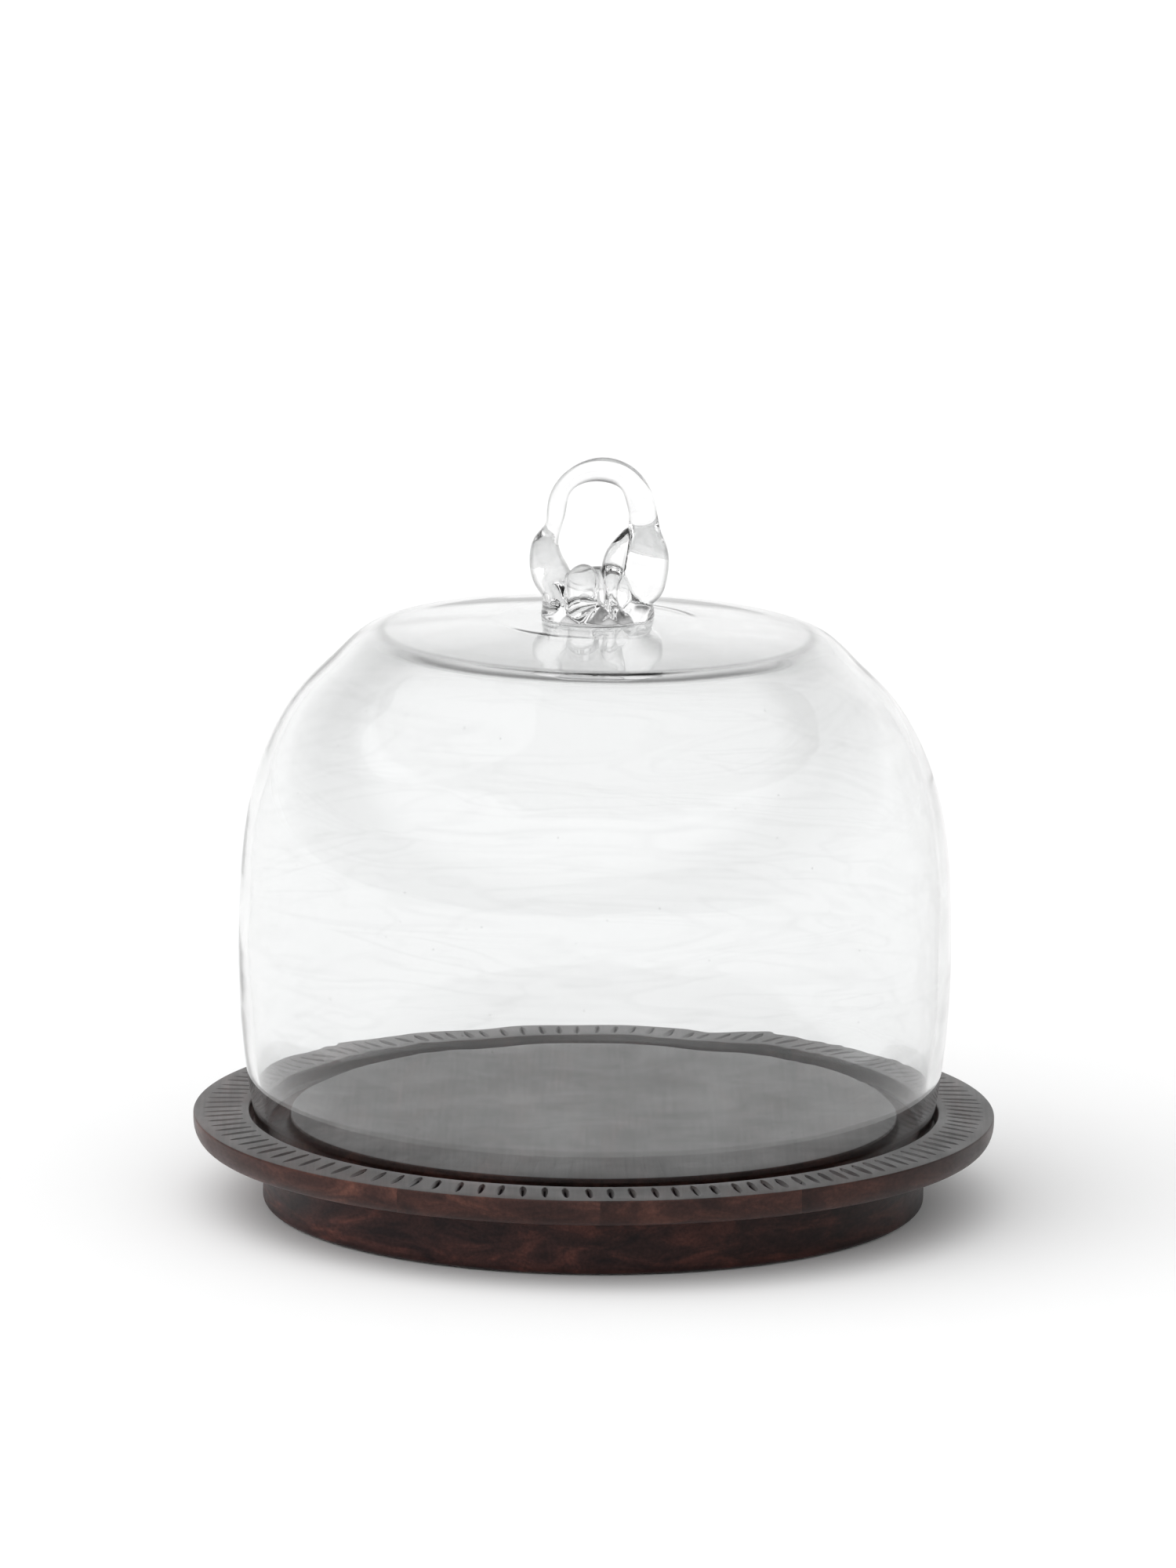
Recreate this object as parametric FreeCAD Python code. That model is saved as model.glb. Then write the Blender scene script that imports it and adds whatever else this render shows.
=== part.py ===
import FreeCAD, Part
import math
import os
from FreeCAD import Vector

# Bell jar dome: a blown glass dome with a hand-formed loop handle, which stands loose in a groove
# around the raised disc of a turned wooden board. All sizes are in millimetres.
# The origin is the centre of the footprint on the table. +Z is up, +X is to the right and -Y is the front.

# Wooden board, turned from a blank of four staves that run from front to back
BOARD_RADIUS = 127.0
BOARD_TOP = 30.0
BOARD_THICKNESS = 9.25
RIM_FALL = 0.5
EDGE_ROUND_WIDTH = 4.3
EDGE_ROUND_HEIGHT = 6.6
TOP_EDGE_ROUND = 0.6
PLATEAU_RADIUS = 96.4
GROOVE_RADIUS = 109.2
GROOVE_DEPTH = 4.7
GROOVE_WALL_SLOPE = 0.8
GROOVE_COVE = 2.2
LIP_ROUND = 0.8
STAVE_SEAMS = [-61.0, 2.2, 65.0]

# Knife-cut notches in the top of the rim
# Angles are measured from the front and grow towards the right. The notches are spaced by hand in runs,
# and lean off the radius: each run has its end angle, its number of notches and the lean at its end.
NOTCH_START = (-96.8, 1.0)
NOTCH_RUNS = [
    (-74.8, 7, 7.0),
    (-52.5, 7, 13.0),
    (-17.5, 10, 12.0),
    (2.7, 6, 3.0),
    (22.2, 6, -8.0),
    (48.4, 10, -15.0),
    (77.5, 11, -21.0),
    (99.3, 8, -9.0),
    (263.2, 55, 1.0),
]
NOTCH_MID_RADIUS = 117.8
NOTCH_LENGTH = 12.4
NOTCH_WIDTH = 2.3
NOTCH_DEPTH = 1.1
NOTCH_KEEL_SHARE = 0.6
CUT_ABOVE = 0.5

# Foot ring under the board, and felt pads in shallow pockets under the foot
FOOT_BOTTOM = 0.5
FOOT_RADIUS = 104.8
FOOT_INNER_RADIUS = 86.0
FOOT_EDGE_ROUND = 2.2
PAD_COUNT = 4
PAD_RADIUS = 6.0
PAD_CENTRE_RADIUS = 94.6
PAD_POCKET_DEPTH = 1.0

# Glass dome: radius, and height above the outer edge of the rim
GLASS_WALL = 3.5
RIM_RADIUS = 107.2
RIM_ROUND = 1.0
SHOULDER_RADIUS = 65.5
SHOULDER_HEIGHT = 154.15
CROWN_HEIGHT = 160.5
WALL_POINTS = [
    (70.0, 153.1),
    (73.6, 151.9),
    (77.4, 149.6),
    (83.5, 144.6),
    (92.7, 135.5),
    (102.5, 120.3),
    (109.3, 100.0),
    (112.6, 68.0),
    (112.0, 31.0),
    (108.7, 4.5),
]

# Handle root on the crown's seat: radius, and height above the seat
SEAT_RADIUS = 18.0
WAIST_RADIUS = 17.0
WAIST_HEIGHT = 5.0
ROOT_TOP_RADIUS = 18.6
ROOT_HEIGHT = 10.0

# Handle loop, from its left end over the arch to its right end, above the seat:
# centre x, centre height, tilt of the section in degrees, half width in the loop's plane, half depth
LOOP_STATIONS = [
    (-13.2, 9.0, 0.0, 4.9, 9.2),
    (-16.4, 18.5, 3.0, 5.2, 7.6),
    (-14.3, 28.0, -12.0, 2.9, 4.4),
    (-12.4, 37.4, -18.0, 3.0, 4.3),
    (-8.8, 43.6, -46.0, 3.1, 4.4),
    (0.0, 47.0, -88.0, 3.8, 4.7),
    (9.4, 43.9, -136.0, 3.9, 4.9),
    (13.2, 37.2, -166.0, 4.4, 5.0),
    (14.3, 28.5, -180.0, 5.0, 5.4),
    (15.0, 19.5, -182.0, 7.4, 8.4),
    (13.4, 9.0, -180.0, 6.9, 8.8),
]
SECTION_POINTS = 12

# Levels and radii that follow from the sizes above
BOARD_BOTTOM = BOARD_TOP - BOARD_THICKNESS
RIM_LEVEL = BOARD_TOP - RIM_FALL
GROOVE_FLOOR = BOARD_TOP - GROOVE_DEPTH
CROWN_RISE = CROWN_HEIGHT - SHOULDER_HEIGHT
CROWN_SPHERE = (SHOULDER_RADIUS ** 2 + CROWN_RISE ** 2) / (2 * CROWN_RISE)
OVERSIZE = 10.0


def at(radius, height):
    """Point of an outline in the XZ plane."""
    return Vector(radius, 0, height)


def run(*points):
    """Straight edges through the points."""
    return [Part.LineSegment(a, b).toShape() for a, b in zip(points, points[1:])]


def quarter(start, corner, end):
    """Elliptical quarter round from start to end, tangent to both sides of the corner."""
    curve = Part.BezierCurve()
    curve.setPoles([start, corner, end])
    curve.setWeight(2, math.sqrt(0.5))
    return [curve.toShape()]


def turned(edges):
    """Solid turned about the Z axis from a closed outline."""
    return Part.Face(Part.Wire(edges)).revolve(Vector(0, 0, 0), Vector(0, 0, 1), 360)


def ring_points(count, radius, height, first_angle):
    """Evenly spaced points on a circle about the Z axis."""
    angles = [math.radians(first_angle + 360.0 * i / count) for i in range(count)]
    return [Vector(radius * math.cos(a), radius * math.sin(a), height) for a in angles]


def unevenness(index, phase):
    """Repeatable value between -1 and 1 that makes the notches look cut by hand."""
    return math.sin(2.39 * index + phase) * math.cos(0.73 * index * index + 2.0 * phase)


def board_blank():
    """Turned board with its raised disc and the groove for the glass."""
    edge_low = BOARD_RADIUS - EDGE_ROUND_WIDTH
    edge_side = BOARD_BOTTOM + EDGE_ROUND_HEIGHT
    rim_top = BOARD_RADIUS - TOP_EDGE_ROUND
    outline = run(at(0, BOARD_TOP), at(0, BOARD_BOTTOM), at(edge_low, BOARD_BOTTOM))
    outline += quarter(at(edge_low, BOARD_BOTTOM), at(BOARD_RADIUS, BOARD_BOTTOM),
                       at(BOARD_RADIUS, edge_side))
    outline += run(at(BOARD_RADIUS, edge_side), at(BOARD_RADIUS, RIM_LEVEL - TOP_EDGE_ROUND))
    outline += quarter(at(BOARD_RADIUS, RIM_LEVEL - TOP_EDGE_ROUND), at(BOARD_RADIUS, RIM_LEVEL),
                       at(rim_top, RIM_LEVEL))
    outline += run(at(rim_top, RIM_LEVEL), at(GROOVE_RADIUS + LIP_ROUND, BOARD_TOP))
    outline += quarter(at(GROOVE_RADIUS + LIP_ROUND, BOARD_TOP), at(GROOVE_RADIUS, BOARD_TOP),
                       at(GROOVE_RADIUS, BOARD_TOP - LIP_ROUND))
    wall_foot = at(GROOVE_RADIUS - GROOVE_WALL_SLOPE, GROOVE_FLOOR)
    outline += run(at(GROOVE_RADIUS, BOARD_TOP - LIP_ROUND), wall_foot,
                   at(PLATEAU_RADIUS + GROOVE_COVE, GROOVE_FLOOR))
    outline += quarter(at(PLATEAU_RADIUS + GROOVE_COVE, GROOVE_FLOOR), at(PLATEAU_RADIUS, GROOVE_FLOOR),
                       at(PLATEAU_RADIUS, GROOVE_FLOOR + GROOVE_COVE))
    outline += run(at(PLATEAU_RADIUS, GROOVE_FLOOR + GROOVE_COVE), at(PLATEAU_RADIUS, BOARD_TOP - LIP_ROUND))
    outline += quarter(at(PLATEAU_RADIUS, BOARD_TOP - LIP_ROUND), at(PLATEAU_RADIUS, BOARD_TOP),
                       at(PLATEAU_RADIUS - LIP_ROUND, BOARD_TOP))
    outline += run(at(PLATEAU_RADIUS - LIP_ROUND, BOARD_TOP), at(0, BOARD_TOP))
    return turned(outline)


def notch_angles():
    """Angle from the front and lean of every notch."""
    angles = []
    start, start_lean = NOTCH_START
    for end, count, end_lean in NOTCH_RUNS:
        for i in range(count):
            share = i / count
            angles.append((start + (end - start) * share, start_lean + (end_lean - start_lean) * share))
        start, start_lean = end, end_lean
    return angles


def notch_cutter(index, angle, run_lean):
    """V-shaped cutter with sloping ends for one notch, leaning a little off the radius."""
    turn = angle - 90.0 + 0.3 * unevenness(index, 0.4)
    lean = run_lean + 2.5 * unevenness(index, 1.3)
    half_length = 0.5 * NOTCH_LENGTH * (1.0 + 0.07 * unevenness(index, 2.1))
    half_width = 0.5 * NOTCH_WIDTH * (1.0 + 0.16 * unevenness(index, 3.7))
    keel = NOTCH_KEEL_SHARE * half_length
    flare = 1.0 + CUT_ABOVE / NOTCH_DEPTH
    top_length = keel + (half_length - keel) * flare
    top_width = half_width * flare
    signs = ((-1, -1), (1, -1), (1, 1), (-1, 1))
    corners = [Vector(sx * top_length, sy * top_width, CUT_ABOVE) for sx, sy in signs]
    back, front = Vector(-keel, 0, -NOTCH_DEPTH), Vector(keel, 0, -NOTCH_DEPTH)
    a, b, c, d = corners
    loops = [[a, b, c, d], [a, b, front, back], [b, c, front], [c, d, back, front], [d, a, back]]
    faces = [Part.Face(Part.makePolygon(loop + loop[:1])) for loop in loops]
    cutter = Part.Solid(Part.Shell(faces))
    cutter.rotate(Vector(0, 0, 0), Vector(0, 0, 1), lean)
    cutter.translate(Vector(NOTCH_MID_RADIUS, 0, BOARD_TOP - 0.5 * RIM_FALL))
    cutter.rotate(Vector(0, 0, 0), Vector(0, 0, 1), turn)
    return cutter


def board_staves():
    """The notched board, divided along its glue lines."""
    cutters = [notch_cutter(index, angle, lean) for index, (angle, lean) in enumerate(notch_angles())]
    board = board_blank().cut(Part.makeCompound(cutters))
    reach = BOARD_RADIUS + OVERSIZE
    edges = [-reach] + STAVE_SEAMS + [reach]
    staves = {}
    for number, (left, right) in enumerate(zip(edges, edges[1:]), start=1):
        slab = Part.makeBox(right - left, 2 * reach, BOARD_TOP + OVERSIZE, Vector(left, -reach, 0))
        staves["board_stave_%d" % number] = board.common(slab).Solids[0]
    return staves


def pads(bottom, height):
    """One disc at each pad position."""
    centres = ring_points(PAD_COUNT, PAD_CENTRE_RADIUS, bottom, 180.0 / PAD_COUNT)
    return Part.makeCompound([Part.makeCylinder(PAD_RADIUS, height, centre) for centre in centres])


def foot_ring():
    """Turned ring that carries the board, with a pocket for each pad."""
    low = FOOT_BOTTOM
    side = low + FOOT_EDGE_ROUND
    outline = run(at(FOOT_RADIUS, side), at(FOOT_RADIUS, BOARD_BOTTOM), at(FOOT_INNER_RADIUS, BOARD_BOTTOM),
                  at(FOOT_INNER_RADIUS, low), at(FOOT_RADIUS - FOOT_EDGE_ROUND, low))
    outline += quarter(at(FOOT_RADIUS - FOOT_EDGE_ROUND, low), at(FOOT_RADIUS, low), at(FOOT_RADIUS, side))
    return turned(outline).cut(pads(0, FOOT_BOTTOM + PAD_POCKET_DEPTH)).Solids[0]


def crown_height(radius):
    """Height of the crown's outer face, on a sphere that ends at the shoulder."""
    drop = CROWN_SPHERE - math.sqrt(CROWN_SPHERE ** 2 - radius ** 2)
    return RIM_LEVEL + CROWN_HEIGHT - drop


def through(points):
    """Smooth curve through the points."""
    curve = Part.BSplineCurve()
    curve.interpolate(points)
    return curve


def inwards(curve, point):
    """The point moved into the dome by the wall's thickness."""
    direction = curve.tangent(curve.parameter(point))[0]
    return point + Vector(direction.z, 0, -direction.x) * GLASS_WALL


def glass_dome():
    """Blown dome with an open mouth, a soft shoulder line and a low crown with a flat seat."""
    seat = at(SEAT_RADIUS, crown_height(SEAT_RADIUS))
    middle_radius = 0.5 * (SEAT_RADIUS + SHOULDER_RADIUS)
    middle = at(middle_radius, crown_height(middle_radius))
    shoulder = at(SHOULDER_RADIUS, RIM_LEVEL + SHOULDER_HEIGHT)
    rim = at(RIM_RADIUS, GROOVE_FLOOR)
    wall_points = [at(radius, RIM_LEVEL + height) for radius, height in WALL_POINTS]
    outer = through([shoulder] + wall_points + [rim])
    inner_seat = seat - at(0, GLASS_WALL)
    inner_middle = middle - at(0, GLASS_WALL)
    inner_shoulder = inwards(outer, shoulder)
    inner_rim = rim - at(GLASS_WALL, 0)
    inner = through([inner_shoulder] + [inwards(outer, point) for point in wall_points] + [inner_rim])
    outline = run(at(0, inner_seat.z), at(0, seat.z), seat)
    outline += [Part.Arc(seat, middle, shoulder).toShape(), outer.toShape()]
    outline += run(rim, inner_rim)
    outline += [inner.toShape(), Part.Arc(inner_shoulder, inner_middle, inner_seat).toShape()]
    outline += run(inner_seat, at(0, inner_seat.z))
    shell = turned(outline)
    rim_edges = [edge for edge in shell.Edges if abs(edge.BoundBox.ZMax - GROOVE_FLOOR) < 0.01]
    return shell.makeFillet(RIM_ROUND, rim_edges).Solids[0]


def handle_root():
    """Short waisted stem of glass fused to the crown's seat."""
    low = crown_height(SEAT_RADIUS)
    top = low + ROOT_HEIGHT
    side = through([at(SEAT_RADIUS, low), at(WAIST_RADIUS, low + WAIST_HEIGHT), at(ROOT_TOP_RADIUS, top)])
    outline = run(at(ROOT_TOP_RADIUS, top), at(0, top), at(0, low), at(SEAT_RADIUS, low)) + [side.toShape()]
    return turned(outline)


def loop_section(station):
    """Elliptical section across the loop, square to its path."""
    x, height, tilt, half_width, half_depth = station
    centre = at(x, crown_height(SEAT_RADIUS) + height)
    across = at(math.cos(math.radians(tilt)), math.sin(math.radians(tilt)))
    points = []
    for i in range(SECTION_POINTS):
        turn = 2 * math.pi * i / SECTION_POINTS
        deep = Vector(0, half_depth * math.sin(turn), 0)
        points.append(centre + across * (half_width * math.cos(turn)) + deep)
    curve = Part.BSplineCurve()
    curve.interpolate(points, PeriodicFlag=True)
    return Part.Wire([curve.toShape()])


def handle_loop():
    """Rope of glass bent into an arch, with a lobe at the foot of each side, cut flat at the root."""
    rope = Part.makeLoft([loop_section(station) for station in LOOP_STATIONS], True, False)
    root_top = crown_height(SEAT_RADIUS) + ROOT_HEIGHT
    corner = Vector(-BOARD_RADIUS, -BOARD_RADIUS, 0)
    below = Part.makeBox(2 * BOARD_RADIUS, 2 * BOARD_RADIUS, root_top, corner)
    return rope.cut(below).Solids[0]


def main():
    nodes = board_staves()
    nodes["foot_ring"] = foot_ring()
    nodes["foot_pads"] = pads(0, FOOT_BOTTOM + PAD_POCKET_DEPTH)
    nodes["glass_dome"] = glass_dome()
    nodes["handle_root"] = handle_root()
    nodes["handle_loop"] = handle_loop()
    os.makedirs("parts", exist_ok=True)
    for name, shape in nodes.items():
        print(name, "solids", len(shape.Solids), "valid", shape.isValid(), "volume", round(shape.Volume, 1))
        shape.exportStep("parts/%s.step" % name)


main()
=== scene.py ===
import bpy
import bmesh
import math
import numpy as np
from mathutils import Matrix, Vector


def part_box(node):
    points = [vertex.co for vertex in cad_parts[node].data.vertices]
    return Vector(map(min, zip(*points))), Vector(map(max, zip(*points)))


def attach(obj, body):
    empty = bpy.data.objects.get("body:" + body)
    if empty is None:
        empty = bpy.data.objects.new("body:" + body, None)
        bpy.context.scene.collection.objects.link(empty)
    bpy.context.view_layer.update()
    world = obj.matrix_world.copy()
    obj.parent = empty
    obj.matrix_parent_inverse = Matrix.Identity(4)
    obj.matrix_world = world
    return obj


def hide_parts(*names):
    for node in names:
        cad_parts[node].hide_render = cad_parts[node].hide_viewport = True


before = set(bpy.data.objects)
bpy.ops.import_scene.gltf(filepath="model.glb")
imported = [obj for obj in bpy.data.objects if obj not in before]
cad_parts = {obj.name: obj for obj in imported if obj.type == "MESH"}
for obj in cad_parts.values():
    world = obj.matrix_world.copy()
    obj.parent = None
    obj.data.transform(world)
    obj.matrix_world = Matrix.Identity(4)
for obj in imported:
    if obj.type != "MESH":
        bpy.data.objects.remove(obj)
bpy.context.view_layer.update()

MM = 0.001
TINY = 1e-7
BASE = "base"
DOME = "dome"
STAVES = sorted(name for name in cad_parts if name.startswith("board_stave"))

# Levels and radii that the CAD model gives
BOARD_TOP = max(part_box(name)[1].z for name in STAVES)
BOARD_BOTTOM = min(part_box(name)[0].z for name in STAVES)
BOARD_RADIUS = max(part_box(name)[1].x for name in STAVES)
SEAMS = [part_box(name)[1].x for name in STAVES[:-1]]
FOOT_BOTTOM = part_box("foot_ring")[0].z
FOOT_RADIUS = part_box("foot_ring")[1].x
GROOVE_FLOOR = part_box("glass_dome")[0].z
RIM_FALL = 0.5 * MM
RIM_LEVEL = BOARD_TOP - RIM_FALL
SEAT_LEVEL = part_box("glass_dome")[1].z

# Board profile
EDGE_ROUND_WIDTH = 4.3 * MM
EDGE_ROUND_HEIGHT = 6.6 * MM
TOP_EDGE_ROUND = 0.6 * MM
PLATEAU_RADIUS = 96.4 * MM
GROOVE_RADIUS = 109.2 * MM
GROOVE_WALL_SLOPE = 0.8 * MM
GROOVE_COVE = 2.2 * MM
LIP_ROUND = 0.8 * MM
BOARD_SEGMENTS = 360

# Notches
# Angles are measured from the front and grow towards the right. The notches are spaced in runs,
# and lean off the radius: each run has its end angle, its number of notches and the lean at its end.
NOTCH_START = (-96.8, 1.0)
NOTCH_RUNS = [(-74.8, 7, 7.0), (-52.5, 7, 13.0), (-17.5, 10, 12.0), (2.7, 6, 3.0), (22.2, 6, -8.0),
              (48.4, 10, -15.0), (77.5, 11, -21.0), (99.3, 8, -9.0), (263.2, 55, 1.0)]
NOTCH_MID_RADIUS = 117.8 * MM
NOTCH_LENGTH = 12.4 * MM
NOTCH_WIDTH = 2.3 * MM
NOTCH_DEPTH = 1.4 * MM
NOTCH_STATIONS = 9
# Depth from which a notch takes the painted shade, and height of its cutter above the rim
NOTCH_PAINTED_SHADE_DEPTH = 0.32 * MM
GOUGE_TOP = 0.6 * MM

# Wood: dark, middle and red colours; how light each stave is; and the painted light and shade on the foot,
# lighter on its left and darker on its right
TOP_TONES = [(0.008, 0.0065, 0.006), (0.020, 0.012, 0.011), (0.045, 0.022, 0.018)]
SIDE_TONES = [(0.022, 0.010, 0.009), (0.040, 0.017, 0.014), (0.085, 0.034, 0.025)]
# Painted shade: near-black colours for the depths of the notches
NOTCH_PAINTED_SHADE_TONES = [(0.003, 0.002, 0.002), (0.005, 0.003, 0.003), (0.012, 0.006, 0.005)]
FOOT_TONES = [(0.010, 0.0055, 0.006), (0.026, 0.011, 0.010), (0.075, 0.026, 0.020)]
# The staves are made darker one after another from left to right
STAVE_SHADES = (1.2, 1.0, 0.85, 0.75)
# Painted light and shade: the foot's colour is made lighter on the left, where the light falls, and darker on
# the right
FOOT_PAINTED_LIGHT_AND_SHADE = (2.0, 0.6)
TOP_GLOSS, SIDE_GLOSS, NOTCH_PAINTED_SHADE_GLOSS, FOOT_GLOSS = 1.0, 0.16, 0.1, 0.14

# Places of the finishes on a stave (0 is the top's, 2 the painted shade deep in the notches), and the levels
# that part them
SIDE_FINISH = 1
NOTCH_PAINTED_SHADE_FINISH = 2
LEVEL_ENOUGH = 0.8
NOTCHES_ABOVE = BOARD_TOP - 4 * MM
GROOVE_ABOVE = BOARD_BOTTOM + MM
GROOVE_BELOW = BOARD_TOP - 0.3 * MM

# Foot and its felt pads
FOOT_INNER_RADIUS = 86.0 * MM
FOOT_EDGE_ROUND = 2.2 * MM
FOOT_EASING = 0.8 * MM
PAD_COUNT = 4
PAD_RADIUS = 6.0 * MM
PAD_CENTRE_RADIUS = 94.6 * MM
PAD_ROUND = 0.4 * MM
FELT_TONES = [(0.3, (0.018, 0.016, 0.015)), (0.7, (0.06, 0.055, 0.05))]

# Dome
GLASS_WALL = 3.5 * MM
RIM_RADIUS = 107.2 * MM
RIM_ROUND = 1.2 * MM
SEAT_RADIUS = 18.0 * MM
# Its outline, in millimetres: radius, and height above the rim of the board
CROWN_HEIGHT = 160.4
CROWN_CURVE = 425.0
CROWN_RADII = (22.0, 32.0, 42.0, 52.0, 60.0, 65.5)
SHOULDER_POINTS = [(69.8, 154.6), (73.8, 153.2), (77.6, 150.5)]
WALL_POINTS = [(83.5, 144.6), (92.7, 135.5), (102.5, 120.3), (109.3, 100.0), (112.6, 68.0), (112.0, 31.0),
               (108.7, 4.5)]
DOME_SEGMENTS = 288
# The hand-blown crown falls a little to the right and to the back
LEAN_RIGHT = 0.012
LEAN_BACK = 0.009
# Unevenness of its outer and inner skins
OUTER_SWELL = 0.03 * MM
INNER_SWELL = 0.035 * MM
# Seeds (tiny bubbles) per metre, and the faint drawn streaks, in the glass
SEED_SCALE = 80.0
STREAK_SHADES = [(0.44, (1.0,) * 3), (0.455, (0.965,) * 3), (0.485, (1.0,) * 3), (0.56, (1.0,) * 3),
                 (0.575, (0.965,) * 3), (0.60, (1.0,) * 3)]
# Painted shade: a darker ring at the bend between crown and shoulder, standing for a reflection of the room,
# and a slightly dimmed crown, as shares of the board's radius
PAINTED_BEND_SHADES = [(0.25, (0.97,) * 3), (0.45, (0.93,) * 3), (0.522, (0.84,) * 3), (0.534, (0.48,) * 3),
               (0.546, (0.70,) * 3), (0.562, (0.93,) * 3), (0.64, (1.0,) * 3)]
# Tint of the glass from face on (0) to edge on (1), darkened towards edge on as painted shade for the dark
# surroundings it reflects; and how strong that painted shade is from left (0) to right (1), none on the left
# and most on the right, away from the light
DOME_TINT_AND_PAINTED_EDGE_SHADE = [(0.0, (0.93, 0.935, 0.935)), (0.55, (0.92, 0.925, 0.925)), (0.76, (0.72, 0.72, 0.72)),
             (1.0, (0.50, 0.50, 0.50))]
DOME_PAINTED_SHADE_LEFT_TO_RIGHT = [(0.42, (0.0, 0.0, 0.0)), (0.85, (0.8, 0.8, 0.8))]

# Strands of the handle: x, y and height above the seat, half width and half depth, in millimetres
LOOP_STRAND = [
    (-11.9, -0.5, -1.0, 6.0, 13.4), (-11.9, -0.5, 2.0, 5.7, 12.4), (-12.2, -0.5, 7.5, 5.3, 10.6),
    (-14.6, 0.0, 13.0, 6.0, 8.8), (-16.4, 0.0, 18.5, 5.2, 7.6), (-16.2, 0.0, 23.5, 4.1, 6.0),
    (-14.2, 0.0, 28.2, 2.7, 4.3), (-13.3, 0.0, 32.0, 2.9, 4.2), (-12.4, 0.0, 37.6, 3.0, 4.3),
    (-10.0, 0.0, 42.2, 2.8, 4.4), (-3.6, 0.0, 46.2, 3.4, 4.6), (3.0, 0.0, 46.7, 3.9, 4.8),
    (9.4, 0.0, 43.9, 3.9, 4.9), (13.2, 0.0, 37.2, 4.4, 5.0), (14.4, 0.0, 30.4, 4.7, 4.8),
    (14.5, 0.0, 25.4, 6.0, 6.4), (15.0, 0.0, 19.5, 7.4, 8.4), (14.4, 0.0, 13.0, 7.6, 8.8),
    (12.9, -0.2, 8.4, 6.8, 8.8), (11.3, -0.3, 5.3, 4.6, 9.4), (11.7, -0.4, 2.6, 5.9, 12.0),
    (11.9, -0.5, -1.0, 6.1, 13.4),
]
WEB_STRAND = [
    (-15.0, -0.5, 5.0, 6.0, 9.6), (-5.5, -0.5, 7.0, 7.8, 9.8), (4.0, -0.5, 7.6, 8.0, 9.4),
    (12.0, -0.5, 6.0, 6.0, 8.4),
]
NECK_STRAND = [
    (-1.6, -8.4, -1.0, 10.4, 9.6), (-3.0, -8.4, 1.0, 7.4, 9.2), (-4.2, -8.2, 4.5, 5.7, 8.4),
    (-4.4, -7.2, 9.5, 5.5, 7.4), (-4.6, -5.0, 13.2, 5.0, 6.0), (-5.0, -3.2, 15.2, 3.2, 3.6),
]
LEAF_STRAND = [
    (9.6, -1.4, 28.0, 1.0, 1.8), (7.9, -2.4, 24.6, 2.2, 3.6), (5.5, -3.8, 19.5, 3.4, 4.8),
    (4.4, -5.4, 13.5, 3.2, 5.4), (4.2, -7.2, 7.5, 2.4, 6.4), (5.0, -8.4, 3.0, 2.3, 7.2),
    (7.4, -8.6, -1.0, 3.6, 8.4),
]
# Outline of the root, in millimetres: radius, and height above the seat
ROOT_OUTLINE = [(18.0, 0.0), (17.7, 0.5), (16.8, 1.3), (14.6, 2.2), (7.0, 2.8), (0.0, 3.0)]
HANDLE_VOXEL = 0.4 * MM
# Clearance between the handle's root and the dome's seat
HANDLE_LIFT = 0.03 * MM
# Tint of the handle, with painted shade: near black where it is seen edge on, for the dark surroundings it
# reflects
HANDLE_TINT_AND_PAINTED_EDGE_SHADE = [(0.0, (0.98, 0.98, 0.98)), (0.42, (0.96, 0.96, 0.96)), (0.66, (0.32, 0.32, 0.32)),
               (1.0, (0.05, 0.05, 0.05))]

# Camera: angles in degrees, sensor and lens in millimetres
CAMERA_DISTANCE = 5.437
CAMERA_ELEVATION = 12.775
CAMERA_ROLL = 0.4
CAMERA_SENSOR = 36.0
CAMERA_LENS = 393.4
CAMERA_SWING = 0.0274
CAMERA_LIFT = 1.0915

# Light: each direction's brightness depends on its share, from 0 (opposite the named direction) to 1
WORLD_STRENGTH = 3.0
CEILING_DIRECTION = (-0.12, -0.34, 0.93)
CEILING_LEVELS = [(0.0, 1.05), (0.44, 1.08), (0.5, 0.8), (0.57, 0.5), (0.63, 0.22), (0.70, 0.24), (0.78, 1.1),
                  (0.97, 1.45)]
FILL_DIRECTION = (-0.42, -0.7, 0.58)
FILL_LEVELS = [(0.5, 0.72), (0.75, 1.02), (1.0, 2.1)]
SUN_DIRECTION = (-1.0, 0.1, 1.3)
SUN_ANGLE = 50.0
SUN_STRENGTH = 0.4
FLOOR_HALF = 14.0


# ---------- mesh helpers ----------

def mesh_object(name, vertices, faces):
    """Object with smooth shading and outward normals."""
    mesh = bpy.data.meshes.new(name)
    mesh.from_pydata([tuple(v) for v in vertices], [], faces)
    return finish_mesh(name, mesh)


def finish_mesh(name, mesh):
    """Cleans a mesh and puts it in the scene as an object."""
    work = bmesh.new()
    work.from_mesh(mesh)
    bmesh.ops.remove_doubles(work, verts=work.verts, dist=TINY)
    bmesh.ops.recalc_face_normals(work, faces=work.faces)
    work.to_mesh(mesh)
    work.free()
    mesh.shade_smooth()
    item = bpy.data.objects.new(name, mesh)
    bpy.context.scene.collection.objects.link(item)
    return item


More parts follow.
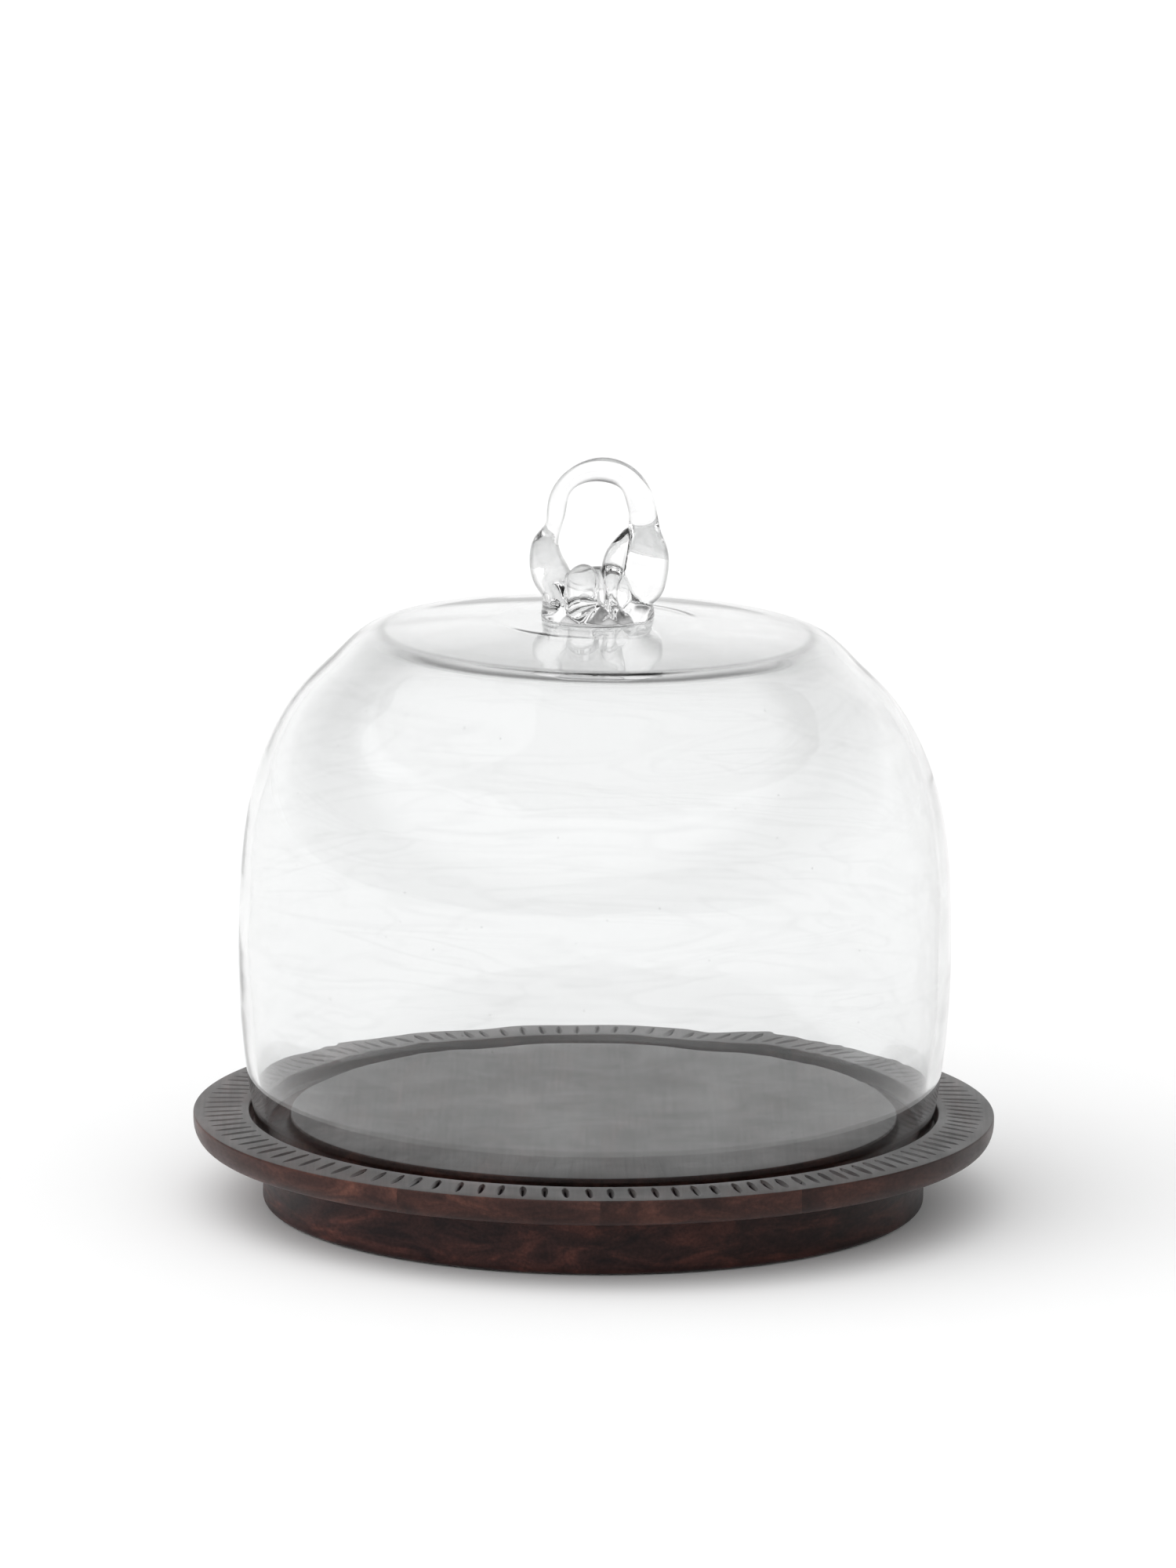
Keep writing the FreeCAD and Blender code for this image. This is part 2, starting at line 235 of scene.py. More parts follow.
def lathe(name, profile, segments, closed=False):
    """Turned mesh. An open profile starts and ends on the axis; a closed one is a ring's section."""
    vertices, rings = [], []
    for radius, height in profile:
        if radius < TINY:
            rings.append([len(vertices)] * segments)
            vertices.append((0.0, 0.0, height))
            continue
        rings.append(list(range(len(vertices), len(vertices) + segments)))
        for i in range(segments):
            turn = 2 * math.pi * i / segments
            vertices.append((radius * math.cos(turn), radius * math.sin(turn), height))
    pairs = list(zip(rings, rings[1:])) + ([(rings[-1], rings[0])] if closed else [])
    faces = []
    for low, high in pairs:
        for i in range(segments):
            j = (i + 1) % segments
            face = []
            for corner in (low[i], low[j], high[j], high[i]):
                if corner not in face:
                    face.append(corner)
            if len(face) > 2:
                faces.append(face)
    return mesh_object(name, vertices, faces)


def straight(start, end, steps):
    """Points from start towards end, without the end."""
    return [(start[0] + (end[0] - start[0]) * i / steps, start[1] + (end[1] - start[1]) * i / steps)
            for i in range(steps)]


def rounded(start, corner, end, steps=6):
    """Elliptical quarter round from start to end, without the end."""
    points = []
    for i in range(steps):
        turn = 0.5 * math.pi * i / steps
        a, b = 1 - math.sin(turn), 1 - math.cos(turn)
        points.append((corner[0] + (start[0] - corner[0]) * a + (end[0] - corner[0]) * b,
                       corner[1] + (start[1] - corner[1]) * a + (end[1] - corner[1]) * b))
    return points


def spline(points, steps):
    """Natural cubic spline through the points, evenly divided between each pair, end included."""
    p = np.array(points, float)
    knots = np.concatenate([[0], np.cumsum(np.linalg.norm(np.diff(p, axis=0), axis=1))])
    gap = np.diff(knots)
    count = len(p)
    matrix, right = np.eye(count), np.zeros_like(p)
    for i in range(1, count - 1):
        matrix[i, i - 1:i + 2] = gap[i - 1], 2 * (gap[i - 1] + gap[i]), gap[i]
        right[i] = 6 * ((p[i + 1] - p[i]) / gap[i] - (p[i] - p[i - 1]) / gap[i - 1])
    bend = np.linalg.solve(matrix, right)
    out = []
    for i in range(count - 1):
        for s in np.arange(steps) / steps * gap[i]:
            left = gap[i] - s
            out.append((bend[i] * left ** 3 + bend[i + 1] * s ** 3) / (6 * gap[i])
                       + (p[i] / gap[i] - bend[i] * gap[i] / 6) * left
                       + (p[i + 1] / gap[i] - bend[i + 1] * gap[i] / 6) * s)
    out.append(p[-1])
    return np.array(out)


# ---------- material helpers ----------

def new_material(name):
    """Empty material: itself, its nodes and links, and its shader."""
    material = bpy.data.materials.new(name)
    material.use_nodes = True
    nodes = material.node_tree.nodes
    nodes.clear()
    output = nodes.new("ShaderNodeOutputMaterial")
    shader = nodes.new("ShaderNodeBsdfPrincipled")
    material.node_tree.links.new(shader.outputs["BSDF"], output.inputs["Surface"])
    return material, nodes, material.node_tree.links, shader


def add(nodes, kind, **settings):
    """New node; settings name its properties, or its inputs where no such property exists."""
    node = nodes.new(kind)
    for key, value in settings.items():
        if hasattr(node, key):
            setattr(node, key, value)
        else:
            node.inputs[key.replace("_", " ")].default_value = value
    return node


def ramp(nodes, links, source, stops):
    """Colour ramp fed by source, with (position, colour) stops."""
    node = nodes.new("ShaderNodeValToRGB")
    elements = node.color_ramp.elements
    while len(elements) < len(stops):
        elements.new(0.5)
    for element, (position, colour) in zip(elements, stops):
        element.position = position
        element.color = (*colour, 1)
    links.new(source, node.inputs["Fac"])
    return node.outputs["Color"]


def mixed(nodes, links, kind, factor, first, second):
    """Colour mix by a factor; the factor may be a number and the first input a plain colour."""
    node = nodes.new("ShaderNodeMix")
    node.data_type = "RGBA"
    node.blend_type = kind
    if isinstance(factor, float):
        node.inputs[0].default_value = factor
    else:
        links.new(factor, node.inputs[0])
    if isinstance(first, tuple):
        node.inputs[6].default_value = (*first, 1)
    else:
        links.new(first, node.inputs[6])
    links.new(second, node.inputs[7])
    return node.outputs[2]


def across_board(nodes, links, place):
    """Place from the board's left edge (0) to its right edge (1)."""
    corner = nodes.new("ShaderNodeSeparateXYZ")
    links.new(place.outputs["Object"], corner.inputs["Vector"])
    span = add(nodes, "ShaderNodeMapRange", From_Min=-BOARD_RADIUS, From_Max=BOARD_RADIUS)
    links.new(corner.outputs["X"], span.inputs["Value"])
    return span.outputs["Result"]


def distance_from_axis(nodes, links, place):
    """Distance from the dome's axis as a share of the board's radius."""
    flat = add(nodes, "ShaderNodeVectorMath", operation="MULTIPLY")
    flat.inputs[1].default_value = (1 / BOARD_RADIUS, 1 / BOARD_RADIUS, 0.0)
    links.new(place.outputs["Object"], flat.inputs[0])
    length = add(nodes, "ShaderNodeVectorMath", operation="LENGTH")
    links.new(flat.outputs["Vector"], length.inputs[0])
    return length.outputs["Value"]


def wood(name, shift, tones, gloss, sides=(1.0, 1.0)):
    """Dark stained wood with its grain along Y; tones are its dark, middle and red colours.
    Painted light and shade may make its colour lighter towards the left side and darker towards the right."""
    material, nodes, links, shader = new_material(name)
    place = nodes.new("ShaderNodeTexCoord")
    # Fine fibres and broad figure, in cycles per metre across, along and up
    fibre_map = add(nodes, "ShaderNodeMapping", Location=shift, Scale=(900.0, 22.0, 900.0))
    broad_map = add(nodes, "ShaderNodeMapping", Location=shift, Scale=(55.0, 14.0, 130.0))
    for node in (fibre_map, broad_map):
        links.new(place.outputs["Object"], node.inputs["Vector"])
    fibre = add(nodes, "ShaderNodeTexNoise", Scale=1.0, Detail=6.0, Roughness=0.65)
    broad = add(nodes, "ShaderNodeTexNoise", Scale=1.0, Detail=5.0, Roughness=0.6, Distortion=0.8)
    links.new(fibre_map.outputs["Vector"], fibre.inputs["Vector"])
    links.new(broad_map.outputs["Vector"], broad.inputs["Vector"])
    base = ramp(nodes, links, broad.outputs["Fac"], list(zip((0.34, 0.52, 0.72), tones)))
    streak = ramp(nodes, links, fibre.outputs["Fac"], [(0.35, (0.55, 0.52, 0.5)), (0.65, (1.15, 1.12, 1.1))])
    grained = mixed(nodes, links, "MULTIPLY", 0.7, base, streak)
    # Painted light and shade: colour made lighter towards the left and darker towards the right
    if sides[0] != sides[1]:
        painted_light_stops = [(0.1, (sides[0],) * 3), (0.9, (sides[1],) * 3)]
        across = ramp(nodes, links, across_board(nodes, links, place), painted_light_stops)
        grained = mixed(nodes, links, "MULTIPLY", 1.0, grained, across)
    links.new(grained, shader.inputs["Base Color"])
    worn = add(nodes, "ShaderNodeTexNoise", Scale=34.0, Detail=5.0, Roughness=0.62, Distortion=0.4)
    links.new(place.outputs["Object"], worn.inputs["Vector"])
    patches = ramp(nodes, links, worn.outputs["Fac"], [(0.36, (0.36,) * 3), (0.64, (0.46,) * 3)])
    fine = ramp(nodes, links, fibre.outputs["Fac"], [(0.3, (1.0,) * 3), (0.7, (0.88,) * 3)])
    links.new(mixed(nodes, links, "MULTIPLY", 1.0, patches, fine), shader.inputs["Roughness"])
    bump = add(nodes, "ShaderNodeBump", Strength=0.10, Distance=0.00012)
    links.new(fibre.outputs["Fac"], bump.inputs["Height"])
    links.new(bump.outputs["Normal"], shader.inputs["Normal"])
    shader.inputs["Specular IOR Level"].default_value = gloss
    return material


def wood_finishes(name, shift, shade):
    """The wood's waxed top, duller and redder sides, and a near-black painted shade for the depths of the
    notches.
    """
    finishes = []
    for part, tones, gloss in (("_top", TOP_TONES, TOP_GLOSS), ("_side", SIDE_TONES, SIDE_GLOSS),
                               ("_cut", NOTCH_PAINTED_SHADE_TONES, NOTCH_PAINTED_SHADE_GLOSS)):
        shaded = [tuple(channel * shade for channel in colour) for colour in tones]
        finishes.append(wood(name + part, shift, shaded, gloss))
    return finishes


def finish_wood(piece, materials):
    """Gives each face its finish by the way it looks and by its depth."""
    for material in materials:
        piece.data.materials.append(material)
    for face in piece.data.polygons:
        radius = math.hypot(face.center.x, face.center.y)
        height = face.center.z
        on_rim = GROOVE_RADIUS + LIP_ROUND < radius < BOARD_RADIUS - TOP_EDGE_ROUND and height > NOTCHES_ABOVE
        in_groove = PLATEAU_RADIUS - LIP_ROUND < radius < GROOVE_RADIUS + LIP_ROUND
        in_groove = in_groove and GROOVE_ABOVE < height < GROOVE_BELOW
        # Painted shade: faces deep in the notches get the near-black material
        if on_rim and height < RIM_LEVEL - NOTCH_PAINTED_SHADE_DEPTH:
            face.material_index = NOTCH_PAINTED_SHADE_FINISH
        elif in_groove or (face.normal.z < LEVEL_ENOUGH and not on_rim):
            face.material_index = SIDE_FINISH


def glass(name, edge, swirl, side=(), painted_ring_stops=()):
    """Clear hand-worked glass with faint streaks and seeds. Dark uneven outlines are painted into its colour
    where it is seen edge on, as painted shade for the dark surroundings that it reflects. The side says how
    strong these painted outlines are from left to right.
    The last argument gives a painted dark ring and a slightly dimmed crown, as shades against the distance
    from the axis."""
    material, nodes, links, shader = new_material(name)
    shader.inputs["Transmission Weight"].default_value = 1.0
    shader.inputs["IOR"].default_value = 1.5
    place = nodes.new("ShaderNodeTexCoord")
    facing = add(nodes, "ShaderNodeLayerWeight", Blend=0.5)
    patches = add(nodes, "ShaderNodeTexNoise", Scale=90.0, Detail=2.0)
    links.new(place.outputs["Object"], patches.inputs["Vector"])
    # Painted shade: the colour darkens where the glass is seen edge on, for the dark surroundings it reflects
    outline = ramp(nodes, links, facing.outputs["Facing"], edge)
    strength = ramp(nodes, links, patches.outputs["Fac"], [(0.36, (0.25,) * 3), (0.56, (1.0,) * 3)])
    # Painted shade: the dark outlines are made stronger towards the right, away from the light
    if side:
        painted_side_shade = ramp(nodes, links, across_board(nodes, links, place), side)
        strength = mixed(nodes, links, "MULTIPLY", 1.0, strength, painted_side_shade)
    tint_and_painted_shade = mixed(nodes, links, "MIX", strength, edge[0][1], outline)
    seeds = add(nodes, "ShaderNodeTexVoronoi", Scale=SEED_SCALE, Randomness=1.0)
    links.new(place.outputs["Object"], seeds.inputs["Vector"])
    specks = ramp(nodes, links, seeds.outputs["Distance"], [(0.02, (0.75,) * 3), (0.04, (1.0,) * 3)])
    tint_and_painted_shade = mixed(nodes, links, "MULTIPLY", 1.0, tint_and_painted_shade, specks)
    smear = add(nodes, "ShaderNodeTexNoise", Scale=60.0, Detail=3.0)
    links.new(place.outputs["Object"], smear.inputs["Vector"])
    links.new(ramp(nodes, links, smear.outputs["Fac"], [(0.5, (0.0,) * 3), (0.85, (0.02,) * 3)]),
              shader.inputs["Roughness"])
    drawn = add(nodes, "ShaderNodeMapping", Scale=(9.0, 9.0, 70.0))
    links.new(place.outputs["Object"], drawn.inputs["Vector"])
    wave = add(nodes, "ShaderNodeTexNoise", Scale=1.0, Detail=2.0, Roughness=0.4, Distortion=0.8)
    links.new(drawn.outputs["Vector"], wave.inputs["Vector"])
    streaks = ramp(nodes, links, wave.outputs["Fac"], STREAK_SHADES)
    tint_and_painted_shade = mixed(nodes, links, "MULTIPLY", 1.0, tint_and_painted_shade, streaks)
    # Painted shade: a dark ring at the bend between crown and shoulder for a reflection of the room, and a
    # slightly dimmed crown
    if painted_ring_stops:
        ring = ramp(nodes, links, distance_from_axis(nodes, links, place), painted_ring_stops)
        tint_and_painted_shade = mixed(nodes, links, "MULTIPLY", 1.0, tint_and_painted_shade, ring)
    links.new(tint_and_painted_shade, shader.inputs["Base Color"])
    bump = add(nodes, "ShaderNodeBump", Strength=swirl, Distance=0.0006)
    links.new(wave.outputs["Fac"], bump.inputs["Height"])
    links.new(bump.outputs["Normal"], shader.inputs["Normal"])
    return material


def felt(name):
    material, nodes, links, shader = new_material(name)
    place = nodes.new("ShaderNodeTexCoord")
    fuzz = add(nodes, "ShaderNodeTexNoise", Scale=2600.0, Detail=5.0)
    links.new(place.outputs["Object"], fuzz.inputs["Vector"])
    tones = ramp(nodes, links, fuzz.outputs["Fac"], FELT_TONES)
    links.new(tones, shader.inputs["Base Color"])
    shader.inputs["Roughness"].default_value = 0.95
    shader.inputs["Sheen Weight"].default_value = 0.4
    bump = add(nodes, "ShaderNodeBump", Strength=0.6, Distance=0.0003)
    links.new(fuzz.outputs["Fac"], bump.inputs["Height"])
    links.new(bump.outputs["Normal"], shader.inputs["Normal"])
    return material


def place_piece(piece, body, nodes, material=None):
    """Ties a piece to its body, gives it the material if one is given, and hides the CAD nodes that it stands
    for.
    """
    if material:
        piece.data.materials.append(material)
    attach(piece, body)
    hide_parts(*nodes)


# ---------- wooden board ----------

def unevenness(index, phase):
    """Repeatable value between -1 and 1 that makes the notches look cut by hand."""
    return math.sin(2.39 * index + phase) * math.cos(0.73 * index * index + 2.0 * phase)


def board_profile():
    """Section of the turned board, from the middle of its top to the middle of its underside."""
    top, low = BOARD_TOP, BOARD_BOTTOM
    rim = BOARD_RADIUS - TOP_EDGE_ROUND
    lip = GROOVE_RADIUS + LIP_ROUND
    wall = PLATEAU_RADIUS
    cove = wall + GROOVE_COVE
    foot = GROOVE_RADIUS - GROOVE_WALL_SLOPE
    side = low + EDGE_ROUND_HEIGHT
    edge = BOARD_RADIUS - EDGE_ROUND_WIDTH
    points = straight((0, top), (wall - LIP_ROUND, top), 8)
    points += rounded((wall - LIP_ROUND, top), (wall, top), (wall, top - LIP_ROUND))
    points += rounded((wall, GROOVE_FLOOR + GROOVE_COVE), (wall, GROOVE_FLOOR), (cove, GROOVE_FLOOR))
    points += straight((cove, GROOVE_FLOOR), (foot, GROOVE_FLOOR), 3)
    points += straight((foot, GROOVE_FLOOR), (GROOVE_RADIUS, top - LIP_ROUND), 2)
    points += rounded((GROOVE_RADIUS, top - LIP_ROUND), (GROOVE_RADIUS, top), (lip, top))
    points += straight((lip, top), (rim, RIM_LEVEL), 4)
    points += rounded((rim, RIM_LEVEL), (BOARD_RADIUS, RIM_LEVEL), (BOARD_RADIUS, RIM_LEVEL - TOP_EDGE_ROUND))
    points += [(BOARD_RADIUS, RIM_LEVEL - TOP_EDGE_ROUND)]
    points += rounded((BOARD_RADIUS, side), (BOARD_RADIUS, low), (edge, low), 10)
    points += straight((edge, low), (0, low), 6)
    return points + [(0, low)]


def notch_angles():
    """Angle from the front and lean of every notch."""
    angles = []
    start, start_lean = NOTCH_START
    for end, count, end_lean in NOTCH_RUNS:
        for i in range(count):
            share = i / count
            angles.append((start + (end - start) * share, start_lean + (end_lean - start_lean) * share))
        start, start_lean = end, end_lean
    return angles


def gouge(index, angle, run_lean):
    """Corners and faces of the cutter for one notch: a slim V that runs out at both ends."""
    turn = angle - 90.0 + 0.3 * unevenness(index, 0.4)
    lean = run_lean + 2.5 * unevenness(index, 1.3)
    half_length = 0.5 * NOTCH_LENGTH * (1.0 + 0.07 * unevenness(index, 2.1))
    half_width = 0.5 * NOTCH_WIDTH * (1.0 + 0.16 * unevenness(index, 3.7))
    depth = NOTCH_DEPTH * (1.0 + 0.2 * unevenness(index, 5.2))
    middle = Matrix.Translation((NOTCH_MID_RADIUS, 0, BOARD_TOP - 0.5 * RIM_FALL))
    place = Matrix.Rotation(math.radians(turn), 4, "Z") @ middle @ Matrix.Rotation(math.radians(lean), 4, "Z")
    vertices = [place @ Vector((-half_length, 0, GOUGE_TOP))]
    for i in range(NOTCH_STATIONS):
        s = -0.96 + 1.92 * i / (NOTCH_STATIONS - 1)
        width = half_width * (1 - abs(s) ** 3.0) ** 0.6
        sink = depth * (1 - s * s) ** 0.5
        x = s * half_length + 0.1 * MM * math.sin(9.0 * s + index)
        bow = 0.12 * MM * unevenness(index, 6.0) * (1 - s * s)
        section = [(-1.25, GOUGE_TOP), (-1.0, 0.0), (-0.4, -0.5 * sink), (-0.05, -sink), (0.3, -0.6 * sink),
                   (1.0, 0.0), (1.25, GOUGE_TOP)]
        vertices += [place @ Vector((x, bow + side * width, height)) for side, height in section]
    vertices.append(place @ Vector((half_length, 0, GOUGE_TOP)))
    last = len(vertices) - 1
    faces = []
    for i in range(NOTCH_STATIONS - 1):
        for k in range(7):
            a, b = 1 + 7 * i + k, 1 + 7 * i + (k + 1) % 7
            faces.append((a, b, b + 7, a + 7))
    for k in range(7):
        faces.append((0, 1 + (k + 1) % 7, 1 + k))
        faces.append((last, last - 7 + k, last - 7 + (k + 1) % 7))
    return vertices, faces


def all_gouges():
    """The cutters of all the notches as one mesh."""
    vertices, faces = [], []
    for index, (angle, lean) in enumerate(notch_angles()):
        corners, sides = gouge(index, angle, lean)
        faces += [tuple(corner + len(vertices) for corner in side) for side in sides]
        vertices += corners
    return mesh_object("gouges", vertices, faces)


def applied(item, kind, **settings):
    """The item with one modifier applied to its mesh."""
    modifier = item.modifiers.new("step", kind)
    for key, value in settings.items():
        setattr(modifier, key, value)
    depsgraph = bpy.context.evaluated_depsgraph_get()
    mesh = bpy.data.meshes.new_from_object(item.evaluated_get(depsgraph))
    item.modifiers.clear()
    old = item.data
    item.data = mesh
    bpy.data.meshes.remove(old)
    return item


def slab(board, name, left, right):
    """The part of the board between two glue lines, with closed sides."""
    work = bmesh.new()
    work.from_mesh(board.data)
    for x, outwards in ((left, -1), (right, 1)):
        if x is None:
            continue
        everything = work.verts[:] + work.edges[:] + work.faces[:]
        cut = bmesh.ops.bisect_plane(work, geom=everything, plane_co=(x, 0, 0), plane_no=(outwards, 0, 0),
                                     clear_outer=True)
        edges = [e for e in cut["geom_cut"] if isinstance(e, bmesh.types.BMEdge)]
        bmesh.ops.triangle_fill(work, edges=edges, use_beauty=True)
    mesh = bpy.data.meshes.new(name)
    work.to_mesh(mesh)
    work.free()
    piece = finish_mesh(name, mesh)
    piece.data.set_sharp_from_angle(angle=math.radians(32))
    return piece


def make_board():
    board = lathe("board", board_profile(), BOARD_SEGMENTS)
    gouges = all_gouges()
    applied(board, "BOOLEAN", object=gouges, operation="DIFFERENCE", solver="EXACT")
    edges = [None] + SEAMS + [None]
    for number, (left, right) in enumerate(zip(edges, edges[1:])):
        name = STAVES[number]
        piece = slab(board, "wood_" + name, left, right)
        shift = (3.1 * number, 0.7 * number, 1.9 * number)
        finish_wood(piece, wood_finishes("stained_" + name, shift, STAVE_SHADES[number]))
        place_piece(piece, BASE, [name])
    bpy.data.objects.remove(gouges)
    bpy.data.objects.remove(board)


def make_foot():
    side = FOOT_BOTTOM + FOOT_EDGE_ROUND
    inner, low, top = FOOT_INNER_RADIUS, FOOT_BOTTOM, BOARD_BOTTOM
    profile = straight((FOOT_RADIUS, side), (FOOT_RADIUS, top), 4)
    profile += straight((FOOT_RADIUS, top), (inner, top), 2)
    profile += straight((inner, top), (inner, low + FOOT_EASING), 2)
    profile += rounded((inner, low + FOOT_EASING), (inner, low), (inner + FOOT_EASING, low), 4)
    profile += straight((inner + FOOT_EASING, low), (FOOT_RADIUS - FOOT_EDGE_ROUND, low), 3)
    profile += rounded((FOOT_RADIUS - FOOT_EDGE_ROUND, low), (FOOT_RADIUS, low), (FOOT_RADIUS, side), 8)
    piece = lathe("turned_foot", profile, BOARD_SEGMENTS, closed=True)
    piece.data.set_sharp_from_angle(angle=math.radians(40))
    material = wood("stained_foot", (7.7, 5.1, 2.3), FOOT_TONES, FOOT_GLOSS, FOOT_PAINTED_LIGHT_AND_SHADE)
    place_piece(piece, BASE, ["foot_ring"], material)


# ---------- glass ----------

def crown_height(radius):
    """Height of the shallow round crown above the board's rim, in millimetres."""
    return CROWN_HEIGHT - CROWN_CURVE + math.sqrt(CROWN_CURVE ** 2 - radius ** 2)


def inside(points, gap):
    """The outline moved inwards by gap, square to itself."""
    slope = np.gradient(points, axis=0)
    slope /= np.linalg.norm(slope, axis=1)[:, None]
    return points + gap * np.stack([slope[:, 1], -slope[:, 0]], axis=1)


def waves(points, size, phase):
    """Smooth uneven field between about -1 and 1, with swells of the given size."""
    total = np.zeros(len(points))
    for turn in range(5):
        angle = 1.3 * turn + phase
        tilt = 0.9 * math.sin(2.1 * turn + phase)
        line = np.array([math.cos(angle) * math.cos(tilt), math.sin(angle) * math.cos(tilt), math.sin(tilt)])
        total += np.sin(points @ line * (2 * math.pi / size) * (1 + 0.23 * turn) + 2.7 * turn + phase)
    return total / 3.0


def make_uneven(item):
    """Hand-blown unevenness: inner and outer skins swell apart by fractions of a millimetre, and the
    crown leans. Both fade out towards the rim and towards the seat of the handle."""
    mesh = item.data
    count = len(mesh.vertices)
    points, normals = np.empty(count * 3), np.empty(count * 3)
    mesh.vertices.foreach_get("co", points)
    mesh.vertices.foreach_get("normal", normals)
    points, normals = points.reshape(-1, 3), normals.reshape(-1, 3)
    middle = np.array([0.0, 0.0, BOARD_TOP + 60 * MM])
    outwards = ((points - middle) * normals).sum(axis=1) > 0
    above_rim = np.clip((points[:, 2] - GROOVE_FLOOR - 6 * MM) / (20 * MM), 0, 1)
    off_seat = np.clip((np.hypot(points[:, 0], points[:, 1]) - SEAT_RADIUS - 2 * MM) / (12 * MM), 0, 1)
    rise = np.clip((points[:, 2] - RIM_LEVEL - 40 * MM) / (90 * MM), 0, 1)
    points[:, 2] -= (LEAN_RIGHT * points[:, 0] + LEAN_BACK * points[:, 1]) * rise * off_seat
    outer = OUTER_SWELL * waves(points, 0.085, 0.6)
    inner = INNER_SWELL * waves(points, 0.046, 2.2)
    swell = np.where(outwards, outer, inner)
    points += normals * (swell * above_rim * off_seat)[:, None]
    mesh.vertices.foreach_set("co", points.ravel())
    mesh.update()


def dome_outline():
    """Outer line of the glass from the seat of the handle down to the rim."""
    points = [(SEAT_RADIUS / MM, crown_height(SEAT_RADIUS / MM))]
    points += [(radius, crown_height(radius)) for radius in CROWN_RADII] + SHOULDER_POINTS + WALL_POINTS
    points = [(radius * MM, RIM_LEVEL + height * MM) for radius, height in points]
    return spline(points + [(RIM_RADIUS, GROOVE_FLOOR)], 10)


def make_dome():
    outer = dome_outline()
    inner = inside(outer, GLASS_WALL)
    low = GROOVE_FLOOR
    outer = outer[outer[:, 1] > low + RIM_ROUND]
    inner = inner[inner[:, 1] > low + RIM_ROUND]
    rim = rounded(tuple(outer[-1]), (outer[-1][0], low), (outer[-1][0] - RIM_ROUND, low), 5)
    rim += rounded((inner[-1][0] + RIM_ROUND, low), (inner[-1][0], low), tuple(inner[-1]), 5)
    seat = [(0.0, SEAT_LEVEL), (0.5 * SEAT_RADIUS, SEAT_LEVEL)]
    under = [(0.5 * SEAT_RADIUS, SEAT_LEVEL - GLASS_WALL), (0.0, SEAT_LEVEL - GLASS_WALL)]
    profile = seat + [tuple(p) for p in outer[:-1]] + rim + [tuple(p) for p in inner[::-1]] + under
    piece = lathe("blown_dome", profile, DOME_SEGMENTS)
    make_uneven(piece)
    material = glass("clear_glass_dome", DOME_TINT_AND_PAINTED_EDGE_SHADE, 0.10, DOME_PAINTED_SHADE_LEFT_TO_RIGHT, PAINTED_BEND_SHADES)
    place_piece(piece, DOME, ["glass_dome"], material)


def strand(stations, count=44):
    """Closed tube of oval section; its width lies in the plane of the loop."""
    path = spline(np.array(stations) * MM, 8)
    slope = np.gradient(path[:, :3], axis=0)
    vertices, faces = [], []
    for (x, y, height, half_width, half_depth), step in zip(path, slope):
        along = Vector(step).normalized()
        across = Vector((along.z, 0, -along.x)).normalized()
        deep = across.cross(along)
        centre = Vector((x, y, SEAT_LEVEL + height))
        for i in range(count):
            turn = 2 * math.pi * i / count
            wide = across * half_width * math.cos(turn)
            vertices.append(centre + wide + deep * half_depth * math.sin(turn))
    rings = len(path)
    for r in range(rings - 1):
        for i in range(count):
            j = (i + 1) % count
            faces.append((r * count + i, r * count + j, (r + 1) * count + j, (r + 1) * count + i))
    faces += [tuple(range(count)), tuple(range(count * (rings - 1), count * rings))]
    return mesh_object("strand", vertices, faces)


def make_handle():
    """Looped glass rod, its folded ends, neck and root, melted into one piece."""
    side = [(max(r, 0.0), SEAT_LEVEL + h) for r, h in spline(np.array(ROOT_OUTLINE) * MM, 6)]
    parts = [lathe("root", [(0.0, SEAT_LEVEL)] + side, 96)]
    parts += [strand(stations) for stations in (LOOP_STRAND, WEB_STRAND, NECK_STRAND, LEAF_STRAND)]
    work = bmesh.new()
    for part in parts:
        work.from_mesh(part.data)
        bpy.data.objects.remove(part)
    everything = work.verts[:] + work.edges[:] + work.faces[:]
    bmesh.ops.bisect_plane(work, geom=everything, plane_co=(0, 0, SEAT_LEVEL), plane_no=(0, 0, -1),
                           clear_outer=True)
    bmesh.ops.holes_fill(work, edges=work.edges, sides=0)
    mesh = bpy.data.meshes.new("glass_handle")
    work.to_mesh(mesh)
    work.free()
    piece = finish_mesh("glass_handle", mesh)
    applied(piece, "REMESH", mode="VOXEL", voxel_size=HANDLE_VOXEL)
    applied(piece, "SMOOTH", factor=0.5, iterations=8)
    piece.data.shade_smooth()
    low = min(v.co.z for v in piece.data.vertices)
    for v in piece.data.vertices:
        if v.co.z < SEAT_LEVEL + 1.0 * MM:
            v.co.z = max(v.co.z - (low - SEAT_LEVEL), SEAT_LEVEL + HANDLE_LIFT)
    material = glass("clear_glass_handle", HANDLE_TINT_AND_PAINTED_EDGE_SHADE, 0.0)
    place_piece(piece, DOME, ["handle_root", "handle_loop"], material)


# ---------- felt pads ----------

def make_pads():
    low, high = (corner.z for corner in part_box("foot_pads"))
    material = felt("dark_felt")
    flat = PAD_RADIUS - PAD_ROUND
    profile = [(0.0, high), (PAD_RADIUS, high)]
    profile += rounded((PAD_RADIUS, low + PAD_ROUND), (PAD_RADIUS, low), (flat, low), 5)
    profile += [(flat, low), (0.5 * PAD_RADIUS, low), (0.0, low)]
    for i in range(PAD_COUNT):
        turn = math.radians(45 + 360 * i / PAD_COUNT)
        centre = (PAD_CENTRE_RADIUS * math.cos(turn), PAD_CENTRE_RADIUS * math.sin(turn), 0)
        pad = lathe("felt_pad_%d" % (i + 1), profile, 48)
        pad.data.transform(Matrix.Translation(centre))
        place_piece(pad, BASE, ["foot_pads"], material)


# ---------- camera, light and floor ----------

